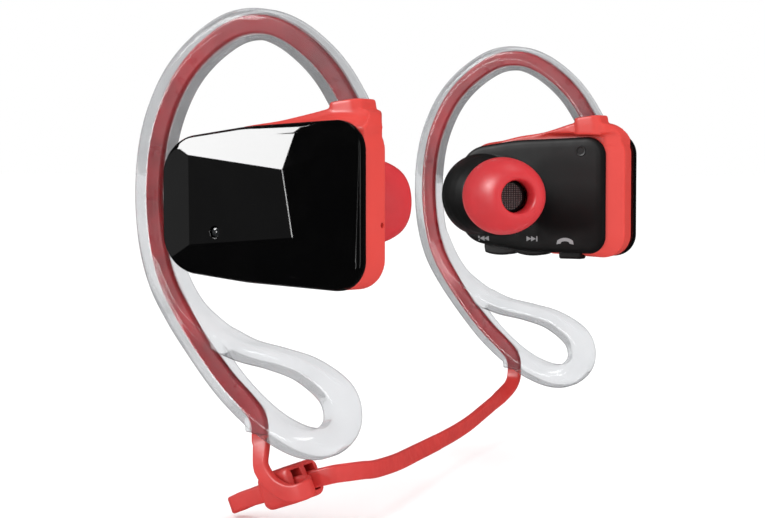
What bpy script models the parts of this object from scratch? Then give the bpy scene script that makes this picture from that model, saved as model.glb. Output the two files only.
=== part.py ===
"""Neckband sports earphones: two earpieces on clear ear hooks, joined by a flat cable with a slider.

Millimetres in the numbers below, metres in the meshes. +X is the wearer's front, +Y the
wearer's left, +Z up. The origin is midway between the hooks, at the height of their inner
top, where they rest on the ears. A point of an earpiece is given as (x, t, z), where t is
the distance from the mid-plane: y = t on the left earpiece and y = -t on the right one.
"""

import math

import bmesh
import bpy
from mathutils import Matrix, Vector

MM = 0.001
GAP = 0.3
SIDES = {"right": -1, "left": 1}

# Ear hook: a band that lies in the plane t = HOOK_T.
HOOK_T = 47.6
HOOK_DEPTH = 6.4
HOOK_CORNER = 1.6
# x, z and radial thickness of the band along its middle, from the earpiece round the ear.
HOOK_LINE = (
    (14.35, -9.7, 4.6),
    (11.7, -5.6, 4.6),
    (8.5, -2.2, 4.6),
    (4.3, 0.8, 4.6),
    (0.0, 2.3, 4.6),
    (-4.9, 2.0, 4.6),
    (-9.9, -0.6, 4.6),
    (-14.1, -4.4, 4.6),
    (-17.1, -9.2, 4.6),
    (-19.1, -15.0, 4.6),
    (-19.9, -22.2, 4.6),
    (-19.4, -29.6, 4.6),
    (-17.7, -35.8, 4.5),
    (-14.7, -41.0, 4.4),
    (-10.9, -46.1, 4.2),
    (-6.5, -51.2, 4.0),
    (-2.0, -55.1, 3.9),
    (2.2, -57.7, 4.0),
    (6.7, -59.2, 4.3),
    (10.4, -58.8, 4.6),
    (12.9, -56.0, 4.6),
    (12.1, -51.9, 4.4),
    (7.4, -48.6, 3.5),
    (2.1, -47.1, 3.1),
    (-3.3, -46.1, 3.2),
    (-7.4, -44.6, 3.6),
    (-10.6, -42.8, 3.9),
    (-13.5, -40.3, 3.6),
    (-15.8, -36.8, 3.0),
    (-17.9, -32.0, 2.4),
)
ARM_SLIMMER = 0.2
ARM_END = 6  # points of the line on which the tail loop's arm runs back into the band
COLLAR = Vector((14.35, -9.7))
COLLAR_DIRECTION = Vector((-0.52, 0.854)).normalized()
TENON = (3.9, 2.8)
TENON_LENGTH = 1.8
TENON_ROOT = 0.8
TENON_CORNER = 0.6
TENON_PLAY = 0.5

# Flat cable, inside the hooks and between them.
CABLE_WIDTH = 2.7
CABLE_THICKNESS = 1.2
CHANNEL_GAP = 0.25
CABLE_BEHIND_COLLAR = 5.6
CHANNEL_BEHIND_COLLAR = 7.4
CHANNEL_PAST_EXIT = 3.0
SPOUT_LENGTH = 2.6
SPOUT_WALL = 0.85
EXIT_X = -1.1
EXIT_Z = -58.2
# x, z of the cable's last stretch in the lower arm of the hook, down to its exit.
CABLE_TAIL = ((-10.9, -46.1), (-6.9, -50.6), (-3.8, -53.4), (-1.7, -55.6), (EXIT_X, -57.4), (EXIT_X, EXIT_Z))

# Earpiece housing: outlines as (x, z, corner radius), seen from the wearer's right.
OUTLINE = (
    (-12.5, -33.8, 6.2),
    (2.0, -35.4, 30.0),
    (21.0, -36.4, 4.4),
    (21.0, -11.7, 4.4),
    (2.0, -12.7, 40.0),
    (-12.5, -14.6, 6.2),
)
FACE_OUTLINE = (
    (-12.2, -33.1, 6.0),
    (2.0, -35.2, 30.0),
    (18.4, -35.4, 3.4),
    (18.4, -12.9, 3.6),
    (0.0, -13.5, 40.0),
    (-12.2, -15.3, 6.0),
)
FACE_T = 45.0
FACE_BACK_T = 46.2
FRAME_T = (46.5, 49.4, 54.5)
FRAME_FRONT = (-2.3, -0.1, -0.5)
FRAME_INSET = (1.2, 0.0, 0.3)
# t and front of the frame's hollow, which runs out past both its faces.
FRAME_HOLLOW = ((44.0, -2.2), (49.4, -0.6), (56.0, -0.6))
FRAME_WALL = 2.6
SLIGHT_TURN = math.radians(8.0)
COVER_T = (54.8, 56.2, 56.9)
COVER_INSET = (0.4, 0.4, 1.2)
COVER_WALL = 1.3
# Corners of the outer cover's facets: x, t, z.
FACETS = ((-7.1, 57.5, -16.9), (9.6, 59.0, -19.0), (11.2, 58.9, -28.5), (-7.0, 57.5, -29.9), (13.3, 58.5, -29.8))

# Horn of the frame below the collar: x, z, half length, t, depth along t, and tilt.
HORN = (
    (7.5, -14.3, 12.5, 50.4, 7.2, 0.03),
    (11.4, -12.9, 9.0, 50.3, 7.4, 0.05),
    (13.9, -12.0, 6.6, 49.5, 8.8, 0.09),
    (14.5, -11.3, 5.0, 48.5, 8.4, 0.16),
)
COLLAR_SIZE = (5.2, 6.8)
HORN_CORNER = 1.2

# Sound path: the axis of the boss, nozzle, driver and ear tip, canted forward from straight in.
CANT = math.radians(38.0)
AXIS_BASE = (-5.8, 42.2, -24.1)
NOZZLE_RADIUS = 3.2
NOZZLE_BORE = 2.6
NOZZLE_END = 20.8
TIP_START = 12.0
TIP_END = 24.6
TIP_RADIUS = 7.2

# Controls, under the left earpiece: middle x, length along x, and how far they stand out.
ROCKER = (-0.7, 13.4)
CALL = (10.7, 4.4)
BUTTON_T = 48.6
BUTTON_DEPTH = 3.0
BUTTON_TOP = -32.4
BUTTON_PROUD = 0.5
BUTTON_LEAN = math.radians(4.0)
BUTTON_GAP = 0.4

# Microphone behind the left earpiece's inner cover and light in the outer one: x, z.
MICROPHONE = (13.4, -16.0)
MICROPHONE_SIZE = (2.4, 1.2, 2.4)
MICROPHONE_HOLE = 0.9
MICROPHONE_RECESS = 2.0
STATUS_LED = (-2.3, -28.0)
LED_SIZE = (1.2, 1.8, 1.2)
LED_T = 56.9
LED_WINDOW = 1.8

# Inside each earpiece: sizes and middles.
BOARD_SIZE = (21.0, 1.0, 11.0)
BOARD = (5.0, 50.6, -23.3)
BATTERY_SIZE = (18.0, 3.0, 10.6)
BATTERY = (5.0, 53.2, -24.6)
GASKET_T = (54.0, 55.4)
GASKET_INSET = (3.0, 3.8)
GASKET_FRONT = -0.6
SWITCH_SIZE = (3.0, 2.4, 1.4)
SWITCH_ABOVE_BUTTON = 1.6
ROCKER_SWITCH_REACH = 4.6

# Charging socket and its cover, under the right earpiece, and the vent in its frame.
SOCKET_SIZE = (7.6, 2.7, 5.0)
SOCKET_MOUTH = (6.9, 2.0, 8.4)
SOCKET_TONGUE = (3.6, 0.6, 4.8)
VENT = (20.0, 50.2, -26.9)
VENT_SIZE = (8.0, 0.8, 0.8)
PORT_X = 5.0
PORT_COVER = (10.0, 4.4, 1.2)
PORT_T = 49.6

# Cable slider: its middle, and its axes along the slots, up and across them.
SLIDER_CENTRE = Vector((2.3, -44.5, -66.3))
SLIDER_ALONG = Vector((0.900, -0.333, 0.320)).normalized()
SLIDER_UP = Vector((-0.348, -0.937, -0.170)).cross(SLIDER_ALONG).normalized()
SLIDER_ACROSS = SLIDER_ALONG.cross(SLIDER_UP)
SLIDER_SIZE = (8.0, 6.6, 5.6)
SLOT_SPACING = 2.7
SLOT_SIZE = (1.8, 4.0)

# Route of the neck cable: first in the slider's axes (along, across, up), from the right
# hook's exit through both slots, then in the object's frame to the left hook's exit.
ROUTE_AT_SLIDER = (
    (0.45, 3.1, 7.2),
    (0.3, 3.8, 5.6),
    (0.05, 4.2, 4.3),
    (0.2, 4.25, 3.0),
    (1.3, 4.2, 1.0),
    (3.1, 4.2, -0.4),
    (4.8, 4.15, -1.1),
    (6.0, 3.9, -1.3),
    (6.8, 3.4, -1.3),
    (7.05, 2.75, -1.2),
    (6.8, 2.1, -1.1),
    (6.0, 1.55, -0.9),
    (4.4, 1.35, -0.4),
    (-8.0, 1.35, 0.0),
    (-12.6, 1.35, -0.2),
    (-13.7, 1.0, -0.3),
    (-14.1, 0.0, -0.3),
    (-13.7, -1.0, -0.3),
    (-12.6, -1.35, -0.2),
    (-8.0, -1.35, 0.0),
    (4.4, -1.35, -0.3),
    (6.2, -1.6, -0.4),
)
ROUTE_TO_LEFT = (
    (10.1, -44.9, -64.0),
    (11.8, -43.3, -63.8),
    (12.5, -40.6, -63.9),
    (12.3, -36.0, -64.4),
    (10.7, -26.0, -65.0),
    (8.0, -14.0, -65.5),
    (5.6, -2.0, -65.8),
    (3.5, 10.0, -65.8),
    (1.9, 20.0, -65.4),
    (0.6, 29.0, -64.5),
    (-0.3, 37.0, -63.4),
    (-0.8, 42.4, -62.4),
    (-1.0, 45.6, -61.4),
    (-1.1, 47.3, -60.1),
)


def clear_scene():
    for item in list(bpy.data.objects):
        bpy.data.objects.remove(item, do_unlink=True)


clear_scene()
PARTS = bpy.data.collections.new("neckband_earphones")
CUTTERS = bpy.data.collections.new("cutters")
bpy.context.scene.collection.children.link(PARTS)
bpy.context.scene.collection.children.link(CUTTERS)


def make_material(name, color, roughness, metallic=0.0, alpha=1.0):
    material = bpy.data.materials.new(name)
    material.use_nodes = True
    shader = material.node_tree.nodes["Principled BSDF"]
    shader.inputs["Base Color"].default_value = (*color, 1.0)
    shader.inputs["Roughness"].default_value = roughness
    shader.inputs["Metallic"].default_value = metallic
    shader.inputs["Alpha"].default_value = alpha
    return material


MATERIALS = {
    "red_frame": make_material("red_frame", (0.78, 0.07, 0.05), 0.45),
    "gloss_black": make_material("gloss_black", (0.005, 0.005, 0.006), 0.08),
    "matte_black": make_material("matte_black", (0.02, 0.02, 0.021), 0.6),
    "clear_rubber": make_material("clear_rubber", (0.8, 0.82, 0.83), 0.15, alpha=0.4),
    "red_cable": make_material("red_cable", (0.7, 0.05, 0.04), 0.5),
    "red_silicone": make_material("red_silicone", (0.75, 0.05, 0.05), 0.4),
    "steel": make_material("steel", (0.5, 0.5, 0.5), 0.3, metallic=1.0),
    "cell_foil": make_material("cell_foil", (0.45, 0.46, 0.48), 0.35, metallic=0.8),
    "board_green": make_material("board_green", (0.02, 0.12, 0.05), 0.5),
    "diaphragm": make_material("diaphragm", (0.5, 0.45, 0.35), 0.3, alpha=0.6),
    "seal_rubber": make_material("seal_rubber", (0.05, 0.05, 0.05), 0.8),
}


def add_object(name, mesh, material=None):
    """A part when it has a material, a cutter when it has none."""
    item = bpy.data.objects.new(name, mesh)
    if material is None:
        CUTTERS.objects.link(item)
        item.hide_render = True
        item.display_type = "WIRE"
    else:
        PARTS.objects.link(item)
        mesh.materials.append(MATERIALS[material])
    return item


def finish_mesh(name, bm, smooth_angle):
    bmesh.ops.recalc_face_normals(bm, faces=bm.faces)
    mesh = bpy.data.meshes.new(name)
    bm.to_mesh(mesh)
    bm.free()
    mesh.shade_smooth()
    mesh.set_sharp_from_angle(angle=math.radians(smooth_angle))
    return mesh


def loft(name, rings, material=None, origin=(0, 0, 0), smooth_angle=35):
    """A closed skin through rings of equally many points, capped at both ends."""
    bm = bmesh.new()
    start = Vector(origin)
    loops = [[bm.verts.new((Vector(point) - start) * MM) for point in ring] for ring in rings]
    for ring, following in zip(loops, loops[1:]):
        for index, vert in enumerate(ring):
            after = (index + 1) % len(ring)
            bm.faces.new((vert, ring[after], following[after], following[index]))
    bm.faces.new(reversed(loops[0]))
    bm.faces.new(loops[-1])
    item = add_object(name, finish_mesh(name, bm, smooth_angle), material)
    item.location = start * MM
    return item


def hull(name, points, material=None, smooth_angle=12):
    bm = bmesh.new()
    for point in points:
        bm.verts.new(Vector(point) * MM)
    made = bmesh.ops.convex_hull(bm, input=bm.verts)
    unused = [item for item in made["geom_interior"] if isinstance(item, bmesh.types.BMVert)]
    bmesh.ops.delete(bm, geom=unused, context="VERTS")
    return add_object(name, finish_mesh(name, bm, smooth_angle), material)


def box(name, size, centre, material=None, bevel=0.0, origin=None):
    """A box from its size and centre, with its origin on its centre unless one is given."""
    start = Vector(centre if origin is None else origin)
    bm = bmesh.new()
    bmesh.ops.create_cube(bm, size=1.0)
    bmesh.ops.scale(bm, vec=Vector(size) * MM, verts=bm.verts)
    bmesh.ops.translate(bm, vec=(Vector(centre) - start) * MM, verts=bm.verts)
    item = add_object(name, finish_mesh(name, bm, 30), material)
    item.location = start * MM
    if bevel:
        add_bevel(item, bevel)
    return item


def add_bevel(item, width, segments=2):
    bevel = item.modifiers.new("rounded_edges", "BEVEL")
    bevel.width = width * MM
    bevel.segments = segments
    bevel.limit_method = "ANGLE"
    bevel.angle_limit = math.radians(40)


def turned(name, profile, side, along=0.0, material=None, steps=24, closed=False):
    """A solid turned about the sound axis from (radius, distance) points, top to bottom."""
    bm = bmesh.new()
    verts = [bm.verts.new((radius * MM, 0, height * MM)) for radius, height in profile]
    for first, second in zip(verts, verts[1:]):
        bm.edges.new((first, second))
    if closed:
        bm.edges.new((verts[-1], verts[0]))
    mesh = bpy.data.meshes.new(name)
    bm.to_mesh(mesh)
    bm.free()
    item = add_object(name, mesh, material)
    screw = item.modifiers.new("turn", "SCREW")
    screw.steps = steps
    screw.render_steps = steps
    screw.use_merge_vertices = True
    screw.merge_threshold = 0.00001
    screw.use_smooth_shade = True
    axis = sound_axis(side)
    item.rotation_euler = axis.to_track_quat("Z", "Y").to_euler()
    item.location = (on_side(side, AXIS_BASE) + axis * along) * MM
    return item


def boolean(item, other, operation):
    modifier = item.modifiers.new(operation.lower(), "BOOLEAN")
    modifier.object = other
    modifier.operation = operation
    modifier.solver = "EXACT"


def on_side(side, point):
    x, t, z = point
    return Vector((x, side * t, z))


def sound_axis(side):
    return Vector((math.sin(CANT), -side * math.cos(CANT), 0.0))


def rounded_outline(corners, inset=0.0):
    """Points round a polygon of (x, z, radius) corners, moved inwards by inset."""
    points = []
    count = len(corners)
    for index, (x, z, radius) in enumerate(corners):
        here = Vector((x, z))
        before = (Vector(corners[index - 1][:2]) - here).normalized()
        after = (Vector(corners[(index + 1) % count][:2]) - here).normalized()
        half = before.angle(after) / 2
        bisector = (before + after).normalized()
        centre = here + bisector * (radius / math.sin(half))
        turn = math.pi / 2 - half
        start = (-bisector).to_3d()
        steps = 6 if turn > SLIGHT_TURN else 1
        for step in range(steps + 1):
            swing = Matrix.Rotation(turn * (2 * step / steps - 1), 3, "Z")
            points.append(centre + (swing @ start).to_2d() * (radius - inset))
    return points


def outline_at(side, corners, t, inset=0.0, front=0.0):
    """An outline on the plane t, its front edge moved forward by front."""
    moved = [(x + front if x > 15 else x, z, radius) for x, z, radius in corners]
    return [on_side(side, (p.x, t, p.y)) for p in rounded_outline(moved, inset)]


def spline_point(points, index, fraction):
    """A point on the Catmull-Rom curve between points[index] and the next one."""
    last = len(points) - 1
    p0, p1 = points[max(index - 1, 0)], points[index]
    p2, p3 = points[min(index + 1, last)], points[min(index + 2, last)]
    squared, cubed = fraction**2, fraction**3
    return 0.5 * (
        2 * p1
        + (p2 - p0) * fraction
        + (2 * p0 - 5 * p1 + 4 * p2 - p3) * squared
        + (3 * p1 - p0 - 3 * p2 + p3) * cubed
    )


def smooth_path(points, spacing):
    """Points along a smooth curve through the given ones, about spacing apart."""
    path = []
    for index in range(len(points) - 1):
        steps = max(1, round((points[index + 1] - points[index]).length / spacing))
        path += [spline_point(points, index, step / steps) for step in range(steps)]
    return path + [points[-1]]


def tangents(path):
    last = len(path) - 1
    return [(path[min(i + 1, last)] - path[max(i - 1, 0)]).normalized() for i in range(last + 1)]


def rounded_section(width, depth, corner, per_corner=3):
    """A rounded rectangle about (0, 0), as (across, deep) pairs."""
    section = []
    for quarter in range(4):
        middle_x = (width / 2 - corner) * (1 if quarter in (0, 3) else -1)
        middle_y = (depth / 2 - corner) * (1 if quarter in (0, 1) else -1)
        for step in range(per_corner):
            angle = math.radians(90 * (quarter + step / max(1, per_corner - 1)))
            section.append((middle_x + corner * math.cos(angle), middle_y + corner * math.sin(angle)))
    return section


def band_rings(side, line, depth, corner, per_corner=3):
    """Rings of a band in the hook's plane along (x, z, width) points."""
    path = smooth_path([Vector(point) for point in line], 3.4)
    flat = [Vector((p.x, p.y)) for p in path]
    rings = []
    for point, tangent in zip(path, tangents(flat)):
        normal = Vector((-tangent.y, tangent.x))
        ring = []
        for across, deep in rounded_section(point.z, depth, min(corner, 0.4 * point.z), per_corner):
            ring.append(on_side(side, (point.x + normal.x * across, HOOK_T + deep, point.y + normal.y * across)))
        rings.append(ring)
    return rings


def collar_ring(side, along, width, depth, corner):
    """A ring round the hook's axis at the collar, along millimetres up it."""
    centre = COLLAR + COLLAR_DIRECTION * along
    normal = Vector((-COLLAR_DIRECTION.y, COLLAR_DIRECTION.x))
    ring = []
    for across, deep in rounded_section(width, depth, corner):
        ring.append(on_side(side, (centre.x + normal.x * across, HOOK_T + deep, centre.y + normal.y * across)))
    return ring


def cable_line(width):
    """The in-hook cable's middle, as (x, z, width) points from the earpiece to the exit."""
    inside = COLLAR - COLLAR_DIRECTION * CABLE_BEHIND_COLLAR
    line = [(inside.x, inside.y), (COLLAR.x, COLLAR.y)]
    line += [(x, z) for x, z, _ in HOOK_LINE[1:14]]
    line += CABLE_TAIL
    return [(x, z, width) for x, z in line]


def channel_line():
    """The cable's channel runs on past the cable at both ends."""
    width = CABLE_WIDTH + 2 * CHANNEL_GAP
    line = cable_line(width)
    inside = COLLAR - COLLAR_DIRECTION * CHANNEL_BEHIND_COLLAR
    return [(inside.x, inside.y, width)] + line + [(EXIT_X, EXIT_Z - CHANNEL_PAST_EXIT, width)]


def make_hook(name, side):
    rings = band_rings(side, HOOK_LINE[: 2 - ARM_END], HOOK_DEPTH, HOOK_CORNER)
    hook = loft(f"{name}_ear_hook", rings, "clear_rubber")
    arm_end = [(x, z, width - ARM_SLIMMER) for x, z, width in HOOK_LINE[-ARM_END:]]
    root = loft(f"{name}_hook_arm_tool", band_rings(side, arm_end, HOOK_DEPTH - ARM_SLIMMER, HOOK_CORNER))
    boolean(hook, root, "UNION")
    tenon = [collar_ring(side, along, *TENON, TENON_CORNER) for along in (-TENON_LENGTH, TENON_ROOT)]
    boolean(hook, loft(f"{name}_tenon_tool", tenon), "UNION")
    spout_width = CABLE_WIDTH + 2 * SPOUT_WALL
    spout_line = ((EXIT_X, EXIT_Z + SPOUT_LENGTH, spout_width), (EXIT_X, EXIT_Z, spout_width - 0.2))
    spout = loft(f"{name}_spout_tool", band_rings(side, spout_line, CABLE_THICKNESS + 2 * SPOUT_WALL, 0.8))
    boolean(hook, spout, "UNION")
    depth = CABLE_THICKNESS + 2 * CHANNEL_GAP
    channel = loft(f"{name}_channel_tool", band_rings(side, channel_line(), depth, 0.0, 1))
    boolean(hook, channel, "DIFFERENCE")
    rings = band_rings(side, cable_line(CABLE_WIDTH), CABLE_THICKNESS, 0.0, 1)
    loft(f"{name}_hook_cable", rings, "red_cable")
    return channel


def make_frame(name, side, channel):
    levels = list(zip(FRAME_T, FRAME_FRONT, FRAME_INSET))
    rings = [outline_at(side, OUTLINE, t, inset, front) for t, front, inset in levels]
    frame = loft(f"{name}_frame", rings, "red_frame")
    boolean(frame, make_horn(name, side), "UNION")
    hollow = [outline_at(side, OUTLINE, t, FRAME_WALL, front) for t, front in FRAME_HOLLOW]
    boolean(frame, loft(f"{name}_hollow_tool", hollow), "DIFFERENCE")
    width, depth = (size + TENON_PLAY for size in TENON)
    socket = [collar_ring(side, along, width, depth, TENON_CORNER) for along in (-TENON_LENGTH - GAP, 2.0)]
    boolean(frame, loft(f"{name}_socket_tool", socket), "DIFFERENCE")
    boolean(frame, channel, "DIFFERENCE")
    return frame


def make_horn(name, side):
    """The frame rises from its top edge to the collar at the hook's end."""
    top = COLLAR - COLLAR_DIRECTION * GAP
    lean = math.atan2(-COLLAR_DIRECTION.x, COLLAR_DIRECTION.y)
    rings = []
    collar = (top.x, top.y, COLLAR_SIZE[0] / 2, HOOK_T, COLLAR_SIZE[1], lean)
    for x, z, half, t, depth, tilt in (*HORN, collar):
        ring = []
        for across, deep in rounded_section(2 * half, depth, HORN_CORNER):
            ring.append(on_side(side, (x + across * math.cos(tilt), t + deep, z + across * math.sin(tilt))))
        rings.append(ring)
    return loft(f"{name}_horn_tool", rings)


def make_inner_cover(name, side):
    rings = [outline_at(side, FACE_OUTLINE, t, inset) for t, inset in ((FACE_T, 0.7), (45.6, 0.0), (47.0, 0.0))]
    cover = loft(f"{name}_inner_cover", rings, "matte_black")
    boss = turned(
        f"{name}_boss_tool",
        (
            (0, NOZZLE_END),
            (NOZZLE_RADIUS - 0.3, NOZZLE_END),
            (NOZZLE_RADIUS + 0.2, NOZZLE_END - 1.4),
            (NOZZLE_RADIUS, NOZZLE_END - 2.0),
            (NOZZLE_RADIUS, 10.4),
            (4.2, 9.4),
            (5.8, 7.4),
            (7.2, 4.6),
            (7.8, 2.2),
            (8.0, 0.0),
            (7.6, -1.4),
            (5.4, -4.6),
            (0, -7.6),
        ),
        side,
    )
    boolean(cover, boss, "UNION")
    back = box(f"{name}_back_tool", (60, 20, 60), on_side(side, (0, FACE_BACK_T + 10, -24)))
    boolean(cover, back, "DIFFERENCE")
    cavity = turned(
        f"{name}_cavity_tool",
        (
            (0, NOZZLE_END + 3),
            (NOZZLE_BORE, NOZZLE_END + 3),
            (NOZZLE_BORE, 8.6),
            (4.4, 6.6),
            (6.0, 4.0),
            (6.5, 1.0),
            (6.4, -0.4),
            (4.2, -3.9),
            (0, -6.2),
        ),
        side,
    )
    boolean(cover, cavity, "DIFFERENCE")
    return cover


def make_outer_cover(name, side):
    points = []
    for t, inset in zip(COVER_T, COVER_INSET):
        points += outline_at(side, OUTLINE, t, inset)
    points += [on_side(side, corner) for corner in FACETS]
    cover = hull(f"{name}_outer_cover", points, "gloss_black")
    inner = []
    for t, inset in zip((COVER_T[0] - 1, COVER_T[1] - 0.6, COVER_T[2] - 1.0), COVER_INSET):
        inner += outline_at(side, OUTLINE, t, inset + COVER_WALL)
    inner += [on_side(side, (x, t - COVER_WALL, z)) for x, t, z in FACETS]
    boolean(cover, hull(f"{name}_cover_tool", inner), "DIFFERENCE")
    x, z = STATUS_LED
    place = on_side(side, (x, LED_T, z))
    window = box(f"{name}_led_window_tool", (LED_WINDOW, 6, LED_WINDOW), place, bevel=0.4)
    boolean(cover, window, "DIFFERENCE")
    box(f"{name}_status_led", LED_SIZE, place, "clear_rubber", bevel=0.2)


def make_gasket(name, side):
    bottom, top = GASKET_T
    outside = [outline_at(side, OUTLINE, t, GASKET_INSET[0], GASKET_FRONT) for t in GASKET_T]
    gasket = loft(f"{name}_cover_gasket", outside, "seal_rubber")
    inside = [outline_at(side, OUTLINE, t, GASKET_INSET[1], GASKET_FRONT) for t in (bottom - 1, top + 1)]
    boolean(gasket, loft(f"{name}_gasket_tool", inside), "DIFFERENCE")


def make_tip(name, side):
    """A soft dome with a skirt round a stem that grips the nozzle."""
    stem = NOZZLE_RADIUS + 0.2 + GAP
    profile = (
        (3.3, TIP_END),
        (4.4, TIP_END - 0.3),
        (5.4, TIP_END - 1.3),
        (6.4, TIP_END - 3.1),
        (7.0, TIP_END - 5.4),
        (TIP_RADIUS, TIP_END - 8.2),
        (7.0, TIP_END - 10.6),
        (6.5, TIP_START),
        (5.9, TIP_START + 0.3),
        (6.5, TIP_END - 8.2),
        (6.2, TIP_END - 5.6),
        (5.6, TIP_END - 3.8),
        (5.0, TIP_END - 3.2),
        (4.6, TIP_END - 4.0),
        (4.5, TIP_START + 1.2),
        (stem, TIP_START + 1.0),
        (stem, NOZZLE_END + GAP),
        (2.9, NOZZLE_END + 0.9),
        (2.9, TIP_END - 0.5),
    )
    turned(f"{name}_ear_tip", profile, side, material="red_silicone", closed=True)


def make_driver(name, side):
    body = ((0, 2.2), (4.4, 2.2), (5.0, 1.6), (5.0, 0.2), (3.6, 0.0), (3.6, -1.8), (0, -1.8))
    turned(f"{name}_driver", body, side, material="steel")
    cone = ((0, 2.9), (2.0, 3.1), (4.4, 2.8), (4.4, 2.5), (2.0, 2.7), (0, 2.5))
    turned(f"{name}_diaphragm", cone, side, material="diaphragm")
    rim = NOZZLE_BORE - 0.1
    grille = ((0, NOZZLE_END - 0.2), (rim, NOZZLE_END - 0.2), (rim, NOZZLE_END - 0.6), (0, NOZZLE_END - 0.6))
    turned(f"{name}_nozzle_mesh", grille, side, material="steel")


def make_electronics(name, side):
    box(f"{name}_circuit_board", BOARD_SIZE, on_side(side, BOARD), "board_green")
    box(f"{name}_battery", BATTERY_SIZE, on_side(side, BATTERY), "cell_foil", bevel=0.6)


def bottom_of_frame(x):
    """Height of the housing's lowest edge under x."""
    rear, middle, front = OUTLINE[0], OUTLINE[1], OUTLINE[2]
    first, second = (rear, middle) if x < middle[0] else (middle, front)
    return first[1] + (second[1] - first[1]) * (x - first[0]) / (second[0] - first[0])


def make_button(node, middle, length, frame):
    low = bottom_of_frame(middle) - BUTTON_PROUD
    height = BUTTON_TOP - low
    centre = (middle, BUTTON_T, low + height / 2)
    pivot = (middle, BUTTON_T, BUTTON_TOP)
    button = box(node, (length, BUTTON_DEPTH, height), centre, "matte_black", bevel=0.4, origin=pivot)
    slot = (length + 2 * BUTTON_GAP, BUTTON_DEPTH + 2 * BUTTON_GAP, height + 6)
    hole = box(f"{node}_slot_tool", slot, centre, origin=pivot)
    boolean(frame, hole, "DIFFERENCE")
    for item in (button, hole):
        item.rotation_euler = (0, BUTTON_LEAN, 0)
    return button


def make_controls(frame, cover):
    rocker = make_button("rocker_button", *ROCKER, frame)
    middle, length = ROCKER
    valley = bottom_of_frame(middle) - BUTTON_PROUD
    saddle = box("rocker_valley_tool", (length / 4, 6, 1.2), (middle, BUTTON_T, valley))
    boolean(rocker, saddle, "DIFFERENCE")
    make_button("call_button", *CALL, frame)
    reach = ROCKER_SWITCH_REACH
    places = {"previous_switch": middle - reach, "next_switch": middle + reach, "call_switch": CALL[0]}
    for node, x in places.items():
        box(node, SWITCH_SIZE, (x, BUTTON_T, BUTTON_TOP + SWITCH_ABOVE_BUTTON), "steel", bevel=0.2)
    x, z = MICROPHONE
    behind = FACE_BACK_T + GAP + MICROPHONE_SIZE[1] / 2
    box("microphone", MICROPHONE_SIZE, (x, behind, z), "steel", bevel=0.15)
    hole = box("microphone_hole_tool", (MICROPHONE_HOLE, 4, MICROPHONE_HOLE), (x, FACE_T, z), bevel=0.2)
    boolean(cover, hole, "DIFFERENCE")
    recess = box("microphone_recess_tool", (MICROPHONE_RECESS, 1, MICROPHONE_RECESS), (x, FACE_T, z), bevel=0.5)
    boolean(cover, recess, "DIFFERENCE")


def make_charging_port(frame):
    """The port is under the right earpiece, and a pinhole vent is in the same frame's front wall."""
    side = SIDES["right"]
    boolean(frame, box("vent_tool", VENT_SIZE, on_side(side, VENT)), "DIFFERENCE")
    length, depth, thickness = PORT_COVER
    floor = bottom_of_frame(PORT_X)
    centre = on_side(side, (PORT_X, PORT_T, floor + thickness / 2))
    hinge = on_side(side, (PORT_X - length / 2, PORT_T, floor))
    box("port_cover", PORT_COVER, centre, "seal_rubber", bevel=0.15, origin=hinge)
    opening = (length + 2 * GAP, depth + 2 * GAP, 8)
    boolean(frame, box("port_opening_tool", opening, centre), "DIFFERENCE")
    mouth = floor + thickness + GAP
    middle = mouth + SOCKET_SIZE[2] / 2
    socket = box("charging_socket", SOCKET_SIZE, on_side(side, (PORT_X, PORT_T, middle)), "steel", bevel=0.3)
    inside = box("socket_mouth_tool", SOCKET_MOUTH, on_side(side, (PORT_X, PORT_T, mouth)))
    boolean(socket, inside, "DIFFERENCE")
    tongue = box("socket_tongue_tool", SOCKET_TONGUE, on_side(side, (PORT_X, PORT_T - 0.3, middle)))
    boolean(socket, tongue, "UNION")


def slider_point(along, across, up):
    return SLIDER_CENTRE + SLIDER_ALONG * along + SLIDER_ACROSS * across + SLIDER_UP * up


def slider_matrix():
    axes = Matrix((SLIDER_ALONG, SLIDER_ACROSS, SLIDER_UP)).transposed()
    return Matrix.Translation(SLIDER_CENTRE * MM) @ axes.to_4x4()


def make_slider():
    slider = box("cable_slider", SLIDER_SIZE, (0, 0, 0), "red_cable", bevel=1.1)
    slider.matrix_world = slider_matrix()
    for index, across in enumerate((SLOT_SPACING / 2, -SLOT_SPACING / 2)):
        slot = box(f"slot_tool_{index}", (20, *SLOT_SIZE), (0, 0, 0))
        slot.matrix_world = slider_matrix() @ Matrix.Translation((0, across * MM, 0))
        boolean(slider, slot, "DIFFERENCE")


def make_neck_cable():
    """A flat cable whose width runs along x at both exits and upright in between."""
    start = Vector((EXIT_X, -HOOK_T, EXIT_Z - GAP))
    end = Vector((EXIT_X, HOOK_T, EXIT_Z - GAP))
    route = [start, start - Vector((0, 0, 0.9))] + [slider_point(*point) for point in ROUTE_AT_SLIDER]
    route += [Vector(point) for point in ROUTE_TO_LEFT] + [end]
    path = smooth_path(route, 2.6)
    rings = []
    for point, tangent in zip(path, tangents(path)):
        wide = cable_width_direction(point, tangent)
        thin = tangent.cross(wide)
        section = rounded_section(CABLE_WIDTH, CABLE_THICKNESS, 0.35, 2)
        rings.append([point + wide * across + thin * deep for across, deep in section])
    loft("neck_cable", rings, "red_cable")


def ramp(value, low, high):
    return min(1.0, max(0.0, (value - low) / (high - low)))


def cable_width_direction(point, tangent):
    """The cable stands as the slider's slots do, then upright, and faces sideways at the exits."""
    sideways, upright = Vector((1, 0, 0)), Vector((0, 0, 1))
    if point.y > 0:
        wish = (-sideways).lerp(upright, ramp(HOOK_T - point.y, 0, 12))
    elif point.x < 4:
        wish = SLIDER_UP.lerp(sideways, ramp(point.z - EXIT_Z, -7, -1))
    else:
        wish = SLIDER_UP.lerp(upright, ramp(point.x, 8, 12.5))
    return (wish - tangent * wish.dot(tangent)).normalized()


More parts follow.
